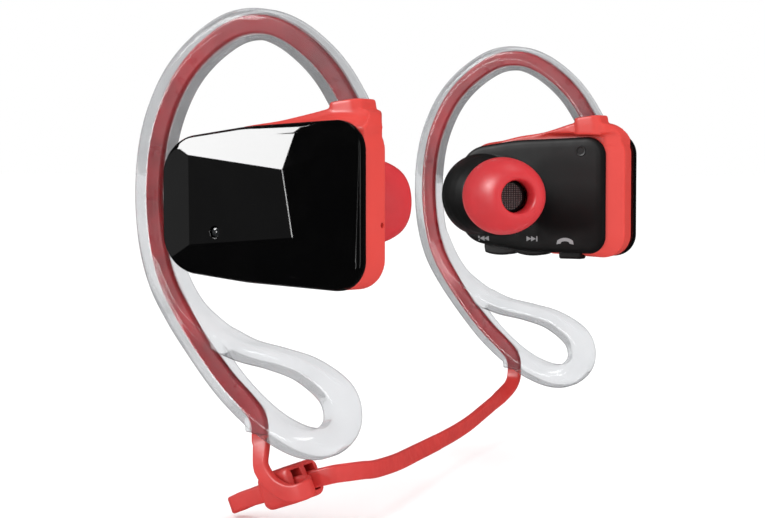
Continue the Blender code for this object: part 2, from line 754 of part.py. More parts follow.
def make_earphones():
    frames = {}
    covers = {}
    for name, side in SIDES.items():
        channel = make_hook(name, side)
        frames[name] = make_frame(name, side, channel)
        covers[name] = make_inner_cover(name, side)
        make_outer_cover(name, side)
        make_gasket(name, side)
        make_tip(name, side)
        make_driver(name, side)
        make_electronics(name, side)
    make_controls(frames["left"], covers["left"])
    make_charging_port(frames["right"])
    make_slider()
    make_neck_cable()


make_earphones()
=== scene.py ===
"""Looks of neckband sports earphones: clear ear hooks, faceted earpieces, flat cable and slider.

Every number below is in millimetres unless it says otherwise, and meshes are scaled to metres
when they become pieces. +X is the wearer's front, +Y the wearer's left, +Z up. Points of an
earpiece are (x, t, z), where t is the distance from the mid-plane: y = t on the left earpiece
and y = -t on the right one.
"""

import math

import bmesh
import bpy
from mathutils import Matrix, Vector
from mathutils.bvhtree import BVHTree


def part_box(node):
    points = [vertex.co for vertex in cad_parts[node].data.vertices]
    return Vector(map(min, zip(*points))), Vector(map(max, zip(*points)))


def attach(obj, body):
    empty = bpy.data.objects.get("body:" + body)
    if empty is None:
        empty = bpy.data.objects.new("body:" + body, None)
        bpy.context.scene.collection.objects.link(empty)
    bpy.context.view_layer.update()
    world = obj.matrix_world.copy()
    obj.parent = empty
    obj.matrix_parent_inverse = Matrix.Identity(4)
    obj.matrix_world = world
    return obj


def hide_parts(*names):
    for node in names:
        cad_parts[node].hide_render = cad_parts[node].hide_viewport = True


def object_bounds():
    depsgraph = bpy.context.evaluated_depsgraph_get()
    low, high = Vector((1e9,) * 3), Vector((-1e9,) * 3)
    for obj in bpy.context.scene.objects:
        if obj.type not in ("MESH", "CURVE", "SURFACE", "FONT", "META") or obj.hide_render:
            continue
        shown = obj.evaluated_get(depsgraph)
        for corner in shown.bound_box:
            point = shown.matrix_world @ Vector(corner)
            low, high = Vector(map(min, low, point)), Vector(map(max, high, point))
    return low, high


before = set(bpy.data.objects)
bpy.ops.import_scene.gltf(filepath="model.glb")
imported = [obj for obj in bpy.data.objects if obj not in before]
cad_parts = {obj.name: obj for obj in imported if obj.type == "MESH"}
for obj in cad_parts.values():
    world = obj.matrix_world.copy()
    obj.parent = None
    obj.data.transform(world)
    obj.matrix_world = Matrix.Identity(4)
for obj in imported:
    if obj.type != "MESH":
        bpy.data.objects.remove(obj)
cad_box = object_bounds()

MM = 0.001
SIDES = {"right": -1, "left": 1}

HOOK_T = 47.6
HOOK_DEPTH = 6.4
HOOK_CORNER = 1.9
# x, z and radial thickness of the hook along its middle, from the earpiece round the ear.
HOOK_LINE = (
    (14.35, -9.7, 4.6),
    (11.7, -5.6, 4.6),
    (8.5, -2.2, 4.6),
    (4.3, 0.8, 4.6),
    (0.0, 2.3, 4.6),
    (-4.9, 2.0, 4.6),
    (-9.9, -0.6, 4.6),
    (-14.1, -4.4, 4.6),
    (-17.1, -9.2, 4.6),
    (-19.1, -15.0, 4.6),
    (-19.9, -22.2, 4.6),
    (-19.4, -29.6, 4.6),
    (-17.7, -35.8, 4.5),
    (-14.7, -41.0, 4.4),
    (-10.9, -46.1, 4.2),
    (-6.5, -51.2, 4.0),
    (-2.0, -55.1, 3.9),
    (2.2, -57.7, 4.0),
    (6.7, -59.2, 4.3),
    (10.4, -58.8, 4.6),
    (12.9, -56.0, 4.6),
    (12.1, -51.9, 4.4),
    (7.4, -48.6, 3.5),
    (2.1, -47.1, 3.1),
    (-3.3, -46.1, 3.2),
    (-7.4, -44.6, 3.6),
    (-10.6, -42.8, 3.9),
    (-13.5, -40.3, 3.6),
    (-15.8, -36.8, 3.0),
    (-17.9, -32.0, 2.4),
)
ARM_END = 6  # points of the line on which the tail loop's arm runs back into the band
ARM_SLIMMER = 0.2
WIRE_POINTS = 14  # points of the line that the cable inside follows before it turns to its exit
COLLAR = Vector((14.35, -9.7))
COLLAR_DIRECTION = Vector((-0.52, 0.854)).normalized()

CABLE_WIDTH = 2.7
CABLE_THICKNESS = 1.2
CABLE_CORNER = 0.42
GAP = 0.3  # between a hook's exit and the neck cable
EXIT_X = -1.1
EXIT_Z = -58.2
CABLE_TAIL = (
    (-10.9, -46.1),
    (-6.9, -50.6),
    (-3.8, -53.4),
    (-1.7, -55.6),
    (EXIT_X, -57.4),
    (EXIT_X, EXIT_Z),
)

# Corners of the housing's outlines: x, z, radius.
OUTLINE = (
    (-12.5, -33.8, 6.2),
    (2.0, -35.4, 30.0),
    (21.0, -36.4, 4.4),
    (21.0, -11.7, 4.4),
    (2.0, -12.7, 40.0),
    (-12.5, -14.6, 6.2),
)
FACE_OUTLINE = (
    (-12.2, -33.1, 6.0),
    (2.0, -35.2, 30.0),
    (18.4, -35.4, 3.4),
    (18.4, -12.9, 3.6),
    (0.0, -13.5, 40.0),
    (-12.2, -15.3, 6.0),
)

FRAME_WALL = 2.6
FACE_T = 45.0
KEY_ROOM = (0.4, 0.7)  # how much longer and wider the frame's slots are than the keys
PORT_ROOM = 0.5
VENT = (20.0, 50.2, -26.9)
VENT_RADIUS = 0.42
LED_WINDOW_RADIUS = 0.85
PRINT_THICKNESS = 0.05
NEXT_SIGN = (3.6, -32.6)
PREVIOUS_SIGN = (-6.6, -32.7)
CALL_SIGN = (10.5, -32.8)

CANT = math.radians(38.0)
AXIS_BASE = (-5.8, 42.2, -24.1)
NOZZLE_END = 20.8
TIP_START = 12.0
TIP_END = 24.6
TIP_LEAN = 1.0
TIP_LEAN_START = 15.5

SLIDER_CENTRE = Vector((2.3, -44.5, -66.3))
SLIDER_ALONG = Vector((0.900, -0.333, 0.320)).normalized()
SLIDER_UP = Vector((-0.348, -0.937, -0.170)).cross(SLIDER_ALONG).normalized()
SLIDER_ACROSS = SLIDER_ALONG.cross(SLIDER_UP)
SLIDER_SIZE = (8.0, 6.6, 5.6)
SLIDER_ROUNDING = 1.1
SLOT_SPACING = 2.7
SLOT_SIZE = (1.8, 4.0)

# The neck cable's route: in the slider's axes (along, across, up), then in the object's frame.
ROUTE_AT_SLIDER = (
    (0.45, 3.1, 7.2),
    (0.3, 3.8, 5.6),
    (0.05, 4.2, 4.3),
    (0.2, 4.25, 3.0),
    (1.3, 4.2, 1.0),
    (3.1, 4.2, -0.4),
    (4.8, 4.15, -1.1),
    (6.0, 3.9, -1.3),
    (6.8, 3.4, -1.3),
    (7.05, 2.75, -1.2),
    (6.8, 2.1, -1.1),
    (6.0, 1.55, -0.9),
    (4.4, 1.35, -0.4),
    (-8.0, 1.35, 0.0),
    (-12.6, 1.35, -0.2),
    (-13.7, 1.0, -0.3),
    (-14.1, 0.0, -0.3),
    (-13.7, -1.0, -0.3),
    (-12.6, -1.35, -0.2),
    (-8.0, -1.35, 0.0),
    (4.4, -1.35, -0.3),
    (6.2, -1.6, -0.4),
)
ROUTE_TO_LEFT = (
    (10.1, -44.9, -64.0),
    (11.8, -43.3, -63.8),
    (12.5, -40.6, -63.9),
    (12.3, -36.0, -64.4),
    (10.7, -26.0, -65.0),
    (8.0, -14.0, -65.5),
    (5.6, -2.0, -65.8),
    (3.5, 10.0, -65.8),
    (1.9, 20.0, -65.4),
    (0.6, 29.0, -64.5),
    (-0.3, 37.0, -63.4),
    (-0.8, 42.4, -62.4),
    (-1.0, 45.6, -61.4),
    (-1.1, 47.3, -60.1),
)


# ---------------------------------------------------------------- materials


def new_material(name):
    """A node material, its tree and its main shader."""
    material = bpy.data.materials.new(name)
    material.use_nodes = True
    tree = material.node_tree
    return material, tree, tree.nodes["Principled BSDF"]


def add_node(tree, kind, **values):
    """A node whose values set its inputs or, by another name, its properties."""
    node = tree.nodes.new(kind)
    for key, value in values.items():
        if key in node.inputs:
            node.inputs[key].default_value = value
        else:
            setattr(node, key, value)
    return node


def noise(tree, scale, detail=3.0, roughness=0.5):
    """Noise in object space; scale is in features to the metre."""
    coords = add_node(tree, "ShaderNodeTexCoord")
    texture = add_node(tree, "ShaderNodeTexNoise", Scale=scale, Detail=detail, Roughness=roughness)
    tree.links.new(coords.outputs["Object"], texture.inputs["Vector"])
    return texture.outputs["Fac"]


def ramp_node(tree, source, low, high, start=0.3, end=0.7):
    """A number from low to high as the source goes from start to end."""
    node = add_node(tree, "ShaderNodeMapRange")
    node.inputs["From Min"].default_value = start
    node.inputs["From Max"].default_value = end
    node.inputs["To Min"].default_value = low
    node.inputs["To Max"].default_value = high
    tree.links.new(source, node.inputs["Value"])
    return node.outputs["Result"]


def colour_mix(tree, source, first, second):
    """A colour from first to second as the source goes from 0 to 1."""
    node = add_node(tree, "ShaderNodeMix", data_type="RGBA")
    node.inputs[6].default_value = (*first, 1.0)
    node.inputs[7].default_value = (*second, 1.0)
    tree.links.new(source, node.inputs[0])
    return node.outputs[2]


def shader_mix(tree, share, first, second):
    """The first shader at a share of 0, the second at 1."""
    node = add_node(tree, "ShaderNodeMixShader")
    tree.links.new(share, node.inputs[0])
    tree.links.new(first.outputs[0], node.inputs[1])
    tree.links.new(second.outputs[0], node.inputs[2])
    return node


def feed(tree, source, shader, socket):
    """Links a source to the named input of a shader."""
    tree.links.new(source, shader.inputs[socket])


def add_bump(tree, shader, source, strength, distance):
    """A bump of that distance in metres."""
    node = add_node(tree, "ShaderNodeBump", Strength=strength, Distance=distance)
    tree.links.new(source, node.inputs["Height"])
    if shader.inputs["Normal"].is_linked:
        tree.links.new(shader.inputs["Normal"].links[0].from_socket, node.inputs["Normal"])
    tree.links.new(node.outputs["Normal"], shader.inputs["Normal"])


def moulded_plastic(name, colour, shade, roughness, grain, grain_depth, level=0.5):
    """Moulded plastic: a fine spark grain, slight clouds in its colour and its gloss."""
    material, tree, shader = new_material(name)
    clouds = ramp_node(tree, noise(tree, 90.0), 0.0, 1.0)
    feed(tree, colour_mix(tree, clouds, colour, shade), shader, "Base Color")
    gloss = ramp_node(tree, noise(tree, 420.0, 5.0), roughness - 0.05, roughness + 0.05)
    feed(tree, gloss, shader, "Roughness")
    shader.inputs["Specular IOR Level"].default_value = level
    add_bump(tree, shader, noise(tree, grain, 2.0), 0.5, grain_depth)
    return material


def piano_black():
    """Polished black with faint handling haze and a trace of orange peel."""
    material, tree, shader = new_material("piano_black")
    haze = ramp_node(tree, noise(tree, 130.0, 6.0, 0.65), 0.0, 1.0, 0.45, 0.75)
    colour = colour_mix(tree, haze, (0.0006, 0.0006, 0.0007), (0.0013, 0.0013, 0.0014))
    feed(tree, colour, shader, "Base Color")
    feed(tree, ramp_node(tree, noise(tree, 260.0, 5.0), 0.03, 0.075), shader, "Roughness")
    shader.inputs["Specular IOR Level"].default_value = 0.5
    edges = add_node(tree, "ShaderNodeBevel", Radius=0.00022, samples=6)
    tree.links.new(edges.outputs["Normal"], shader.inputs["Normal"])
    add_bump(tree, shader, noise(tree, 260.0, 1.0), 0.12, 0.00002)
    return material


def clear_rubber():
    """Clear soft plastic: a glossy skin over a slightly milky body with faint flow marks."""
    material, tree, shader = new_material("clear_rubber")
    flow = ramp_node(tree, noise(tree, 200.0, 4.0), 0.0, 1.0)
    colour = colour_mix(tree, flow, (0.62, 0.63, 0.645), (0.70, 0.705, 0.715))
    feed(tree, colour, shader, "Base Color")
    feed(tree, ramp_node(tree, noise(tree, 500.0, 4.0), 0.04, 0.12), shader, "Roughness")
    shader.inputs["Transmission Weight"].default_value = 1.0
    shader.inputs["IOR"].default_value = 1.07
    shader.inputs["Coat Weight"].default_value = 0.6
    shader.inputs["Coat Roughness"].default_value = 0.08
    shader.inputs["Coat IOR"].default_value = 1.5
    add_bump(tree, shader, noise(tree, 350.0, 3.0), 0.25, 0.00006)
    plain = add_node(tree, "ShaderNodeBsdfTransparent")
    feed(tree, colour_mix(tree, flow, (0.80, 0.81, 0.82), (0.86, 0.865, 0.875)), plain, "Color")
    clear = shader_mix(tree, ramp_node(tree, flow, 0.52, 0.6, 0.0, 1.0), shader, plain)
    milk = add_node(tree, "ShaderNodeBsdfDiffuse")
    milk.inputs["Color"].default_value = (0.55, 0.56, 0.58, 1.0)
    whole = shader_mix(tree, ramp_node(tree, flow, 0.04, 0.07, 0.0, 1.0), clear, milk)
    feed(tree, whole.outputs[0], tree.nodes["Material Output"], "Surface")
    return material


def silicone():
    """Soft silicone: a waxy skin with a little light inside."""
    material, tree, shader = new_material("red_silicone")
    clouds = ramp_node(tree, noise(tree, 150.0), 0.0, 1.0)
    colour = colour_mix(tree, clouds, (0.66, 0.03, 0.038), (0.59, 0.024, 0.032))
    feed(tree, colour, shader, "Base Color")
    feed(tree, ramp_node(tree, noise(tree, 900.0, 4.0), 0.36, 0.46), shader, "Roughness")
    shader.inputs["Subsurface Weight"].default_value = 0.15
    shader.inputs["Subsurface Radius"].default_value = (1.0, 0.2, 0.15)
    shader.inputs["Subsurface Scale"].default_value = 0.0012
    add_bump(tree, shader, noise(tree, 5000.0, 2.0), 0.35, 0.00001)
    return material


def cable_jacket():
    """Extruded jacket: fine lines of the die, softly satin."""
    material, tree, shader = new_material("cable_jacket")
    clouds = ramp_node(tree, noise(tree, 220.0), 0.0, 1.0)
    colour = colour_mix(tree, clouds, (0.68, 0.042, 0.036), (0.61, 0.036, 0.031))
    feed(tree, colour, shader, "Base Color")
    feed(tree, ramp_node(tree, noise(tree, 800.0, 4.0), 0.38, 0.5), shader, "Roughness")
    add_bump(tree, shader, noise(tree, 4200.0, 3.0), 0.4, 0.000012)
    return material


def woven_screen():
    """Fine woven metal: two crossed sets of wires, bright on their tops, with painted shade between them for the
    openings.
    """
    material, tree, shader = new_material("woven_screen")
    coords = add_node(tree, "ShaderNodeTexCoord")
    heights = []
    for direction in ("X", "Z"):
        wave = add_node(tree, "ShaderNodeTexWave", bands_direction=direction, Scale=900.0, Distortion=0.3)
        tree.links.new(coords.outputs["Object"], wave.inputs["Vector"])
        heights.append(wave.outputs["Fac"])
    weave_and_gap_shade = add_node(tree, "ShaderNodeMath", operation="MULTIPLY")
    tree.links.new(heights[0], weave_and_gap_shade.inputs[0])
    tree.links.new(heights[1], weave_and_gap_shade.inputs[1])
    # painted shade: the colour goes dark where the wires dip and part, standing for the shade in the screen's
    # openings
    colour = colour_mix(tree, weave_and_gap_shade.outputs[0], (0.05, 0.05, 0.05), (0.42, 0.42, 0.42))
    feed(tree, colour, shader, "Base Color")
    feed(tree, ramp_node(tree, noise(tree, 700.0), 0.35, 0.55), shader, "Roughness")
    shader.inputs["Metallic"].default_value = 0.6
    add_bump(tree, shader, weave_and_gap_shade.outputs[0], 0.8, 0.00008)
    return material


def metal(name, colour, roughness):
    """Plain rolled metal with fine scratches."""
    material, tree, shader = new_material(name)
    clouds = ramp_node(tree, noise(tree, 300.0), 0.0, 1.0)
    darker = tuple(c * 0.8 for c in colour)
    feed(tree, colour_mix(tree, clouds, colour, darker), shader, "Base Color")
    gloss = ramp_node(tree, noise(tree, 1500.0, 5.0), roughness, roughness + 0.15)
    feed(tree, gloss, shader, "Roughness")
    shader.inputs["Metallic"].default_value = 1.0
    add_bump(tree, shader, noise(tree, 3000.0), 0.3, 0.00001)
    return material


# Moulded finishes: name, colour, its cloudier shade, roughness, grain, grain depth, specular level.
MOULDED = {
    "frame_red": ("frame_red", (0.74, 0.054, 0.042), (0.70, 0.049, 0.038), 0.42, 5200.0, 0.000012),
    "satin_black": ("satin_black", (0.004, 0.004, 0.0042), (0.006, 0.006, 0.0062), 0.5, 6000.0, 0.00001, 0.25),
    "button_black": ("button_black", (0.0045, 0.0045, 0.0047), (0.007, 0.007, 0.007), 0.5, 4200.0, 0.000014),
    # The cable inside a hook: the neck cable's red jacket painted darker, with darker clouds at random, as
    # painted shade for its look through the clear rubber.
    "inner_jacket_painted_dark": ("inner_jacket_painted_dark", (0.50, 0.012, 0.02), (0.20, 0.004, 0.008), 0.3, 900.0, 0.00003),
    "board": ("board_green", (0.01, 0.1, 0.035), (0.008, 0.075, 0.03), 0.45, 900.0, 0.00002),
    "film": ("diaphragm_film", (0.5, 0.44, 0.32), (0.44, 0.38, 0.28), 0.3, 1500.0, 0.00002),
    "seal": ("seal_rubber", (0.02, 0.02, 0.02), (0.03, 0.03, 0.03), 0.7, 3000.0, 0.00002),
    "print": ("print_grey", (0.34, 0.34, 0.35), (0.28, 0.28, 0.29), 0.5, 5000.0, 0.000006),
    "led": ("led_window", (0.012, 0.013, 0.014), (0.02, 0.021, 0.022), 0.12, 1500.0, 0.000005),
}
MATERIALS = {key: moulded_plastic(*values) for key, values in MOULDED.items()}
MATERIALS.update(
    piano_black=piano_black(),
    clear_rubber=clear_rubber(),
    silicone=silicone(),
    jacket=cable_jacket(),
    screen=woven_screen(),
    steel=metal("steel", (0.5, 0.5, 0.5), 0.3),
    foil=metal("cell_foil", (0.6, 0.61, 0.63), 0.25),
)


# ---------------------------------------------------------------- mesh tools


def object_from(name, bm):
    """A new object with its faces pointing out; the bmesh is used up."""
    bmesh.ops.recalc_face_normals(bm, faces=bm.faces)
    mesh = bpy.data.meshes.new(name)
    bm.to_mesh(mesh)
    bm.free()
    item = bpy.data.objects.new(name, mesh)
    bpy.context.scene.collection.objects.link(item)
    return item


def add_skin(bm, rings):
    """Faces between rings of equally many points, and over the first and last ring."""
    loops = [[bm.verts.new(point) for point in ring] for ring in rings]
    for ring, following in zip(loops, loops[1:]):
        for index, vert in enumerate(ring):
            after = (index + 1) % len(ring)
            bm.faces.new((vert, ring[after], following[after], following[index]))
    bm.faces.new(reversed(loops[0]))
    bm.faces.new(loops[-1])


def loft(name, rings):
    """A closed solid through rings of equally many points."""
    bm = bmesh.new()
    add_skin(bm, rings)
    return object_from(name, bm)


def box(name, size, centre):
    """A block of that size about the centre."""
    bm = bmesh.new()
    bmesh.ops.create_cube(bm, size=1.0)
    bmesh.ops.scale(bm, vec=size, verts=bm.verts)
    bmesh.ops.translate(bm, vec=centre, verts=bm.verts)
    return object_from(name, bm)


def cylinder(name, radius, start, end):
    """A round bar from start to end."""
    start, end = Vector(start), Vector(end)
    depth = (end - start).length
    bm = bmesh.new()
    bmesh.ops.create_cone(bm, cap_ends=True, segments=40, radius1=radius, radius2=radius, depth=depth)
    turn = (end - start).to_track_quat("Z", "Y").to_matrix().to_4x4()
    bmesh.ops.transform(bm, matrix=Matrix.Translation((start + end) / 2) @ turn, verts=bm.verts)
    return object_from(name, bm)


def turned(name, profile, base, axis, steps=96, closed=False):
    """A solid turned about an axis from (radius, distance) points; ends on the axis are points."""
    turn = Vector(axis).to_track_quat("Z", "Y").to_matrix()
    bm = bmesh.new()
    columns = []
    for radius, height in profile:
        if radius < 1e-6:
            columns.append([bm.verts.new(Vector(base) + turn @ Vector((0, 0, height)))] * steps)
            continue
        ring = []
        for step in range(steps):
            angle = 2 * math.pi * step / steps
            point = Vector((radius * math.cos(angle), radius * math.sin(angle), height))
            ring.append(bm.verts.new(Vector(base) + turn @ point))
        columns.append(ring)
    pairs = list(zip(columns, columns[1:]))
    if closed:
        pairs.append((columns[-1], columns[0]))
    for ring, following in pairs:
        for step in range(steps):
            after = (step + 1) % steps
            corners = (ring[step], ring[after], following[after], following[step])
            bm.faces.new(tuple(dict.fromkeys(corners)))
    return object_from(name, bm)


def spline(points, spacing):
    """Points along a Catmull-Rom curve through the given ones, about spacing apart."""
    points = [Vector(point) for point in points]
    last = len(points) - 1
    path = []
    for index in range(last):
        p0, p1 = points[max(index - 1, 0)], points[index]
        p2, p3 = points[index + 1], points[min(index + 2, last)]
        steps = max(1, round((p2 - p1).length / spacing))
        for step in range(steps):
            f = step / steps
            curve = (2 * p0 - 5 * p1 + 4 * p2 - p3) * f**2 + (3 * p1 - p0 - 3 * p2 + p3) * f**3
            path.append(0.5 * (2 * p1 + (p2 - p0) * f + curve))
    return path + [points[-1]]


def tangents(path):
    """The direction of the path at each of its points."""
    last = len(path) - 1
    return [(path[min(i + 1, last)] - path[max(i - 1, 0)]).normalized() for i in range(last + 1)]


def rounded_section(width, depth, corner, per_corner=6):
    """A rounded rectangle about (0, 0), as (across, deep) pairs."""
    section = []
    for quarter in range(4):
        middle_x = (width / 2 - corner) * (1 if quarter in (0, 3) else -1)
        middle_y = (depth / 2 - corner) * (1 if quarter in (0, 1) else -1)
        for step in range(per_corner):
            angle = math.radians(90 * (quarter + step / (per_corner - 1)))
            section.append((middle_x + corner * math.cos(angle), middle_y + corner * math.sin(angle)))
    return section


def drawn_in(from_end, radius):
    """How far a surface draws in near an end that is rounded by that radius."""
    return radius * (1.0 - math.sqrt(max(0.0, 1.0 - max(0.0, 1.0 - from_end / radius) ** 2)))


def on_side(side, point):
    """An earpiece's (x, t, z) as a point of the object."""
    x, t, z = point
    return Vector((x, side * t, z))


def sound_axis(side):
    """The way the nozzle points, into the ear and forwards."""
    return Vector((math.sin(CANT), -side * math.cos(CANT), 0.0))


def rounded_outline(corners, inset=0.0, front=0.0, steps=16):
    """Points (x, z) round a polygon of (x, z, radius) corners, moved inwards by inset."""
    moved = [(x + front if x > 15 else x, z, radius) for x, z, radius in corners]
    points = []
    for index, (x, z, radius) in enumerate(moved):
        here = Vector((x, z))
        before = (Vector(moved[index - 1][:2]) - here).normalized()
        after = (Vector(moved[(index + 1) % len(moved)][:2]) - here).normalized()
        half = before.angle(after) / 2
        bisector = (before + after).normalized()
        centre = here + bisector * (radius / math.sin(half))
        turn = math.pi / 2 - half
        start = (-bisector).to_3d()
        for step in range(steps + 1):
            swing = Matrix.Rotation(turn * (2 * step / steps - 1), 3, "Z")
            points.append(centre + (swing @ start).to_2d() * (radius - inset))
    return points


def outline_ring(side, corners, t, inset=0.0, front=0.0):
    """A rounded outline as points of the object, at t from the mid-plane."""
    return [on_side(side, (p.x, t, p.y)) for p in rounded_outline(corners, inset, front)]


def apply_modifiers(item):
    """Makes what the modifiers give into the object's own mesh."""
    mesh = bpy.data.meshes.new_from_object(item.evaluated_get(bpy.context.evaluated_depsgraph_get()))
    item.modifiers.clear()
    item.data = mesh


def combine(item, other, operation):
    """Joins or cuts item with other, which is used up."""
    modifier = item.modifiers.new("combine", "BOOLEAN")
    modifier.object = other
    modifier.operation = operation
    modifier.solver = "EXACT"
    apply_modifiers(item)
    bpy.data.objects.remove(other)


def soften(item, voxel, rounds):
    """Melts a solid's edges and joints together: voxel remesh, then smoothing."""
    remesh = item.modifiers.new("remesh", "REMESH")
    remesh.mode = "VOXEL"
    remesh.voxel_size = voxel
    smooth = item.modifiers.new("smooth", "SMOOTH")
    smooth.iterations = rounds
    smooth.factor = 0.5
    apply_modifiers(item)


def become_piece(item, material, body="root", replaces=(), sharp=None):
    """Scales a finished mesh to metres and gives it its material and its body."""
    item.data.transform(Matrix.Scale(MM, 4))
    item.data.materials.clear()
    item.data.materials.append(MATERIALS[material])
    item.data.shade_smooth()
    if sharp is not None:
        item.data.set_sharp_from_angle(angle=math.radians(sharp))
    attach(item, body)
    if replaces:
        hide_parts(*replaces)
    return item


def dress_node(node, material):
    """A finish for a CAD node that stays."""
    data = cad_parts[node].data
    data.materials.clear()
    data.materials.append(MATERIALS[material])


# ---------------------------------------------------------------- camera, light, floor


def make_camera():
    """A long lens on the right earpiece's outer side, turned towards the left one's inner side."""
    camera = bpy.data.objects.new("camera", bpy.data.cameras.new("camera"))
    bpy.context.scene.collection.objects.link(camera)
    right = Vector((0.8857, 0.4643, 0.0))
    up = Vector((-0.0226, 0.0431, 0.9988))
    turn = Matrix((right, up, right.cross(up))).transposed()
    camera.matrix_world = Matrix.Translation(Vector((137.4, -272.5, -18.4)) * MM) @ turn.to_4x4()
    camera.data.lens = 83.58
    camera.data.sensor_width = 36.0
    camera.data.shift_y = -0.0095
    camera.data.clip_start = 0.02
    bpy.context.scene.camera = camera


def add_softbox(name, place, aim, size, power):
    """A rectangular soft light that faces its aim, all in metres and watts."""
    light = bpy.data.lights.new(name, "AREA")
    light.shape = "RECTANGLE"
    light.size, light.size_y = size
    light.energy = power
    item = bpy.data.objects.new(name, light)
    bpy.context.scene.collection.objects.link(item)
    item.location = place
    item.rotation_euler = (Vector(aim) - Vector(place)).to_track_quat("-Z", "Y").to_euler()
    return item


def make_world():
    """Even white light all round, which reflections see as a dark room."""
    world = bpy.data.worlds.new("studio")
    bpy.context.scene.world = world
    world.use_nodes = True
    tree = world.node_tree
    rays = add_node(tree, "ShaderNodeLightPath")
    white = tree.nodes["Background"]
    white.inputs["Color"].default_value = (1.0, 1.0, 1.0, 1.0)
    white.inputs["Strength"].default_value = 1.0
    dim = add_node(tree, "ShaderNodeBackground", Strength=0.03)
    dim.inputs["Color"].default_value = (1.0, 1.0, 1.0, 1.0)
    mix = shader_mix(tree, rays.outputs["Is Glossy Ray"], white, dim)
    feed(tree, mix.outputs[0], tree.nodes["World Output"], "Surface")


def add_card(name, point, normal, size, power):
    """A soft light that a mirror at the point, facing along the normal, shows to the camera."""
    point = Vector(point) * MM
    sight = (point - bpy.context.scene.camera.matrix_world.translation).normalized()
    away = sight.reflect(Vector(normal).normalized())
    card = add_softbox(name, point + away * 0.6, point, size, power)
    card.visible_diffuse = False
    card.visible_transmission = False
    return card


def make_stage():
    """A pale floor, an even room, and the soft lights that the gloss shows."""
    low = cad_box[0].z - 0.0006
    bm = bmesh.new()
    bmesh.ops.create_grid(bm, x_segments=1, y_segments=1, size=8.0)
    floor = object_from("floor", bm)
    floor.location.z = low
    floor.visible_glossy = False
    material, tree, shader = new_material("floor_paper")
    colour = colour_mix(tree, noise(tree, 30.0), (0.93, 0.93, 0.93), (0.91, 0.91, 0.91))
    feed(tree, colour, shader, "Base Color")
    shader.inputs["Roughness"].default_value = 0.9
    shader.inputs["Specular IOR Level"].default_value = 0.0
    shader.inputs["Emission Color"].default_value = (1.0, 1.0, 1.0, 1.0)
    shader.inputs["Emission Strength"].default_value = 0.15
    floor.data.materials.append(material)
    make_world()
    middle = (0.0, 0.0, -0.03)
    window = add_softbox("window", (-0.42, -0.47, 0.31), middle, (0.34, 0.3), 6.5)
    window.visible_diffuse = False
    key = add_softbox("key", (0.1, -0.5, 0.5), middle, (0.35, 0.35), 1.1)
    key.visible_glossy = False
    add_softbox("side_strip", (0.55, -0.12, 0.05), middle, (0.06, 0.6), 0.25)
    add_softbox("top_strip", (0.05, 0.05, 0.6), middle, (0.5, 0.12), 0.5)
    lower_facet, front_facet = facet_normal(-1, FACET_PLANES[2]), facet_normal(-1, FACET_PLANES[3])
    add_card("card_lower_facet", (5.0, -58.4, -27.0), lower_facet, (0.3, 0.3), 0.035)
    add_card("card_rear_facet", (-9.5, -57.0, -24.0), facet_normal(-1, FACET_PLANES[7]), (0.16, 0.22), 0.035)
    add_card("card_ridge", (10.4, -59.0, -24.0), lower_facet + front_facet, (0.12, 0.12), 0.9)
    add_card("card_front_rim", (20.4, -56.4, -24.0), (0.55, -0.83, 0.0), (0.04, 0.45), 0.25)
    bpy.context.scene.view_settings.view_transform = "Standard"


# ---------------------------------------------------------------- cables


def slider_point(along, across, up):
    """A place in the slider's axes as a point of the object."""
    return SLIDER_CENTRE + SLIDER_ALONG * along + SLIDER_ACROSS * across + SLIDER_UP * up


def slope(value, low, high):
    """0 up to low, 1 from high, and straight in between."""
    return min(1.0, max(0.0, (value - low) / (high - low)))


def cable_width_direction(point, tangent):
    """The cable stands as the slider's slots do, then upright, and faces sideways at the exits."""
    sideways, upright = Vector((1, 0, 0)), Vector((0, 0, 1))
    if point.y > 0:
        wish = (-sideways).lerp(upright, slope(HOOK_T - point.y, 0, 12))
    elif point.x < 4:
        wish = SLIDER_UP.lerp(sideways, slope(point.z - EXIT_Z, -7, -1))
    else:
        wish = SLIDER_UP.lerp(upright, slope(point.x, 8, 12.5))
    return (wish - tangent * wish.dot(tangent)).normalized()


def cable_route():
    """From the right hook's exit, through the slider and back, to the left hook's exit."""
    start = Vector((EXIT_X, -HOOK_T, EXIT_Z - GAP))
    end = Vector((EXIT_X, HOOK_T, EXIT_Z - GAP))
    route = [start, start - Vector((0, 0, 0.9))]
    route += [slider_point(*point) for point in ROUTE_AT_SLIDER]
    return route + [Vector(point) for point in ROUTE_TO_LEFT] + [end]


def make_neck_cable():
    """One flat cable with rounded edges, turned on its way as it lies."""
    path = spline(cable_route(), 0.7)
    rings = []
    for point, tangent in zip(path, tangents(path)):
        wide = cable_width_direction(point, tangent)
        thin = tangent.cross(wide)
        section = rounded_section(CABLE_WIDTH, CABLE_THICKNESS, CABLE_CORNER, 6)
        rings.append([point + wide * across + thin * deep for across, deep in section])
    cable = become_piece(loft("flat_cable", rings), "jacket", "root", ["neck_cable"], 60)


def make_slider():
    """A moulded block with two slots, its edges well rounded."""
    axes = Matrix((SLIDER_ALONG, SLIDER_ACROSS, SLIDER_UP)).transposed()
    place = Matrix.Translation(SLIDER_CENTRE) @ axes.to_4x4()
    length, depth, height = SLIDER_SIZE
    rings = []
    steps = 10
    for step in range(-steps, steps + 1):
        along = step / steps * length / 2
        inset = drawn_in(length / 2 - abs(along), SLIDER_ROUNDING)
        section = rounded_section(depth - 2 * inset, height - 2 * inset, 1.3 - min(1.0, inset), 7)
        rings.append([place @ Vector((along, across, up)) for across, up in section])
    block = loft("slider_block", rings)
    for across in (SLOT_SPACING / 2, -SLOT_SPACING / 2):
        slot = box("slot", (20, *SLOT_SIZE), (0, across, 0.1))
        slot.data.transform(place)
        slot.data.flip_normals()  # the slider's axes are left-handed
        combine(block, slot, "DIFFERENCE")
    soften(block, 0.1, 4)
    become_piece(block, "jacket", "slider", ["cable_slider"])


# ---------------------------------------------------------------- ear hooks


